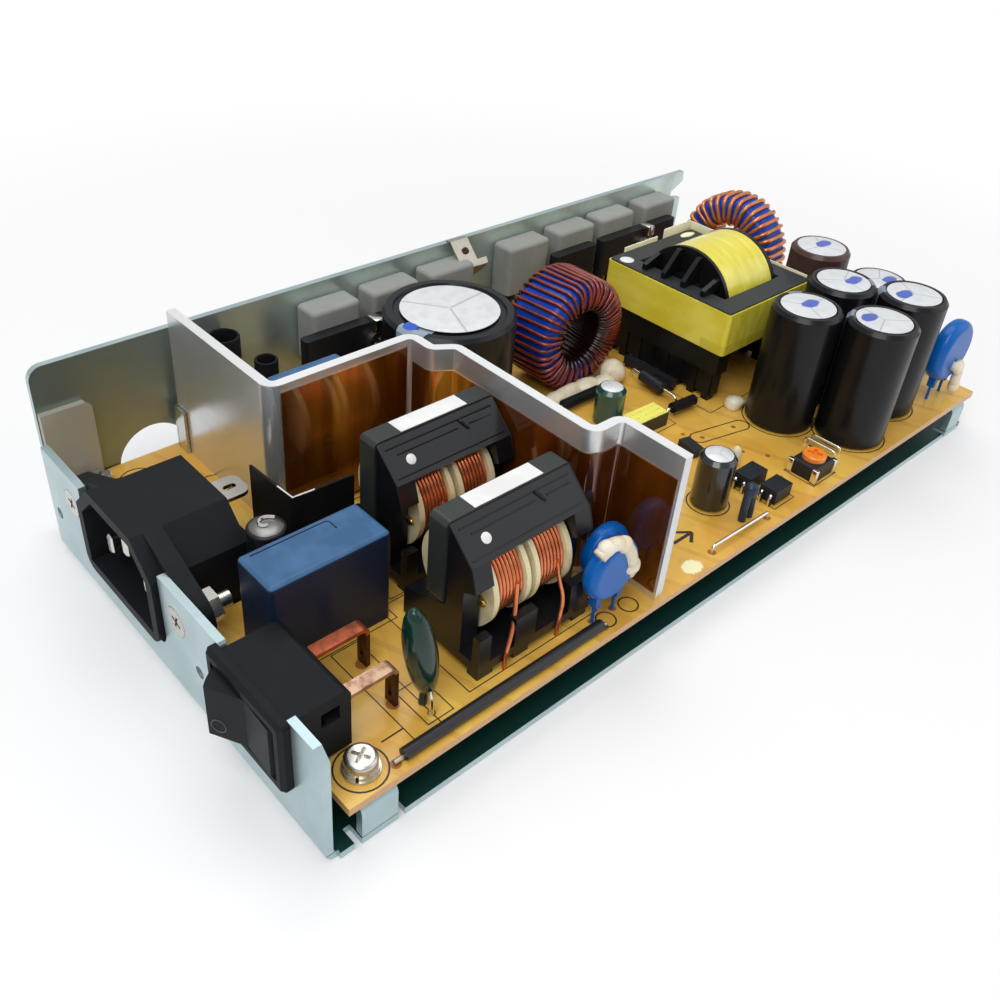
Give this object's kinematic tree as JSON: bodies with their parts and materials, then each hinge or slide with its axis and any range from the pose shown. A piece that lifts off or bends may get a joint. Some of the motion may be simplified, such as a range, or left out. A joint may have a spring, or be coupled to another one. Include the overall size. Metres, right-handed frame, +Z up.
{
  "type": "power supply board",
  "caption": "Power supply board in an open bent-sheet tray, with mains inlet, rocker switch, heat sink, chokes, transformer, toroids and capacitors.",
  "frame": {"origin": "centre of the underside of the base sheet", "axes": "+X along the board from the front plate with inlet and switch to the output end, +Y across the board to the upright wall, +Z up"},
  "size_m": [0.2075, 0.1024, 0.0434],
  "materials": {
    "zinc_sheet": "zinc plated, pale blue clear coat",
    "board_laminate": "golden laminate with pads and outline print",
    "steel_hardware": "nickel plated",
    "charcoal_plastic": "moulded, finely grained",
    "pin_metal": "nickel plated brass",
    "copper_strip": "bare copper alloy strip",
    "sink_aluminium": "mill finish with brushed edges",
    "amber_film": "amber film, glossy",
    "blue_case": "blue moulded case",
    "black_sheet": "thin black insulating sheet",
    "fuse_shell": "dark shrink sleeve with a metal end",
    "ferrite": "dark lacquered ferrite",
    "frame_plastic": "black moulded frame",
    "cream_plastic": "cream moulded spool",
    "copper_wire": "lacquered copper turns",
    "green_dip": "dark green dipped coating",
    "black_sleeve": "black shrink sleeve with a bright top disc",
    "brown_sleeve": "dark brown shrink sleeve",
    "small_sleeve": "small sleeved capacitors",
    "core_blue": "blue coated ring core",
    "red_brown_wire": "red-brown lacquered turns",
    "orange_wire": "orange lacquered turns",
    "bobbin_black": "black moulded bobbin",
    "yellow_tape": "yellow polyester tape",
    "disc_blue": "blue dipped coating",
    "boot_grey": "grey silicone",
    "clamp_black": "black clamp bar",
    "spring_steel": "bright spring steel",
    "trimmer_orange": "orange rotor",
    "trimmer_case": "pale trimmer body",
    "package_dark": "dark moulded package",
    "tinned_wire": "tinned wire",
    "label_yellow": "black box with a yellow-green label",
    "glue_cream": "cream silicone adhesive",
    "tube_black": "black shrink tube"
  },
  "bodies": {
    "root": {"axial_diode": "package_dark", "board_screws": "steel_hardware", "boost_toroid_core": "core_blue", "boost_toroid_winding": "red_brown_wire", "brown_output_capacitor": "brown_sleeve", "bulk_capacitor": "black_sleeve", "chassis": "zinc_sheet", "circuit_board": "board_laminate", "clamp_bars": "clamp_black", "clamp_screws": "steel_hardware", "device_boots": "boot_grey", "dipped_part": "green_dip", "far_choke_core": "ferrite", "far_choke_frame": "frame_plastic", "far_choke_spool": "cream_plastic", "far_choke_winding": "copper_wire", "flat_diodes": "package_dark", "flat_washers": "steel_hardware", "front_discs": "disc_blue", "glue": "glue_cream", "heat_sink_clip": "steel_hardware", "heat_sink_plate": "sink_aluminium", "inlet_earth_lug": "pin_metal", "inlet_housing": "charcoal_plastic", "inlet_nuts": "steel_hardware", "inlet_pins": "pin_metal", "inlet_screws": "steel_hardware", "insulating_film": "amber_film", "insulating_sheet": "black_sheet", "jumper_sleeves": "tube_black", "labelled_box": "label_yellow", "line_fuse": "fuse_shell", "long_jumper": "tube_black", "near_choke_core": "ferrite", "near_choke_frame": "frame_plastic", "near_choke_spool": "cream_plastic", "near_choke_winding": "copper_wire", "optocouplers": "package_dark", "output_capacitors": "black_sleeve", "output_toroid_core": "core_blue", "output_toroid_winding": "orange_wire", "power_devices": "package_dark", "rear_disc": "disc_blue", "second_box_capacitor": "blue_case", "sensor": "package_dark", "shrink_tubes": "tube_black", "small_capacitors": "small_sleeve", "spring_clip": "spring_steel", "spring_washers": "steel_hardware", "suppression_capacitor": "blue_case", "switch_housing": "charcoal_plastic", "switch_terminals": "copper_strip", "transformer_bobbin": "bobbin_black", "transformer_core": "ferrite", "transformer_tape": "yellow_tape", "transformer_winding": "yellow_tape", "trimmer_body": "trimmer_case", "wire_jumpers": "tinned_wire"},
    "rocker": {"switch_rocker": "charcoal_plastic"},
    "rotor": {"trimmer_rotor": "trimmer_orange"}
  },
  "joints": [
    {"name": "switch_rock", "type": "hinge", "parent": "root", "child": "rocker", "pos_m": [-0.0992, -0.032, 0.0175], "axis": [0, 0, -1], "range_deg": [0, 26]},
    {"name": "trimmer_turn", "type": "hinge", "parent": "root", "child": "rotor", "pos_m": [0.0355, -0.0443, 0.0145], "axis": [0, 0, 1], "range_deg": [-130, 130]}
  ]
}
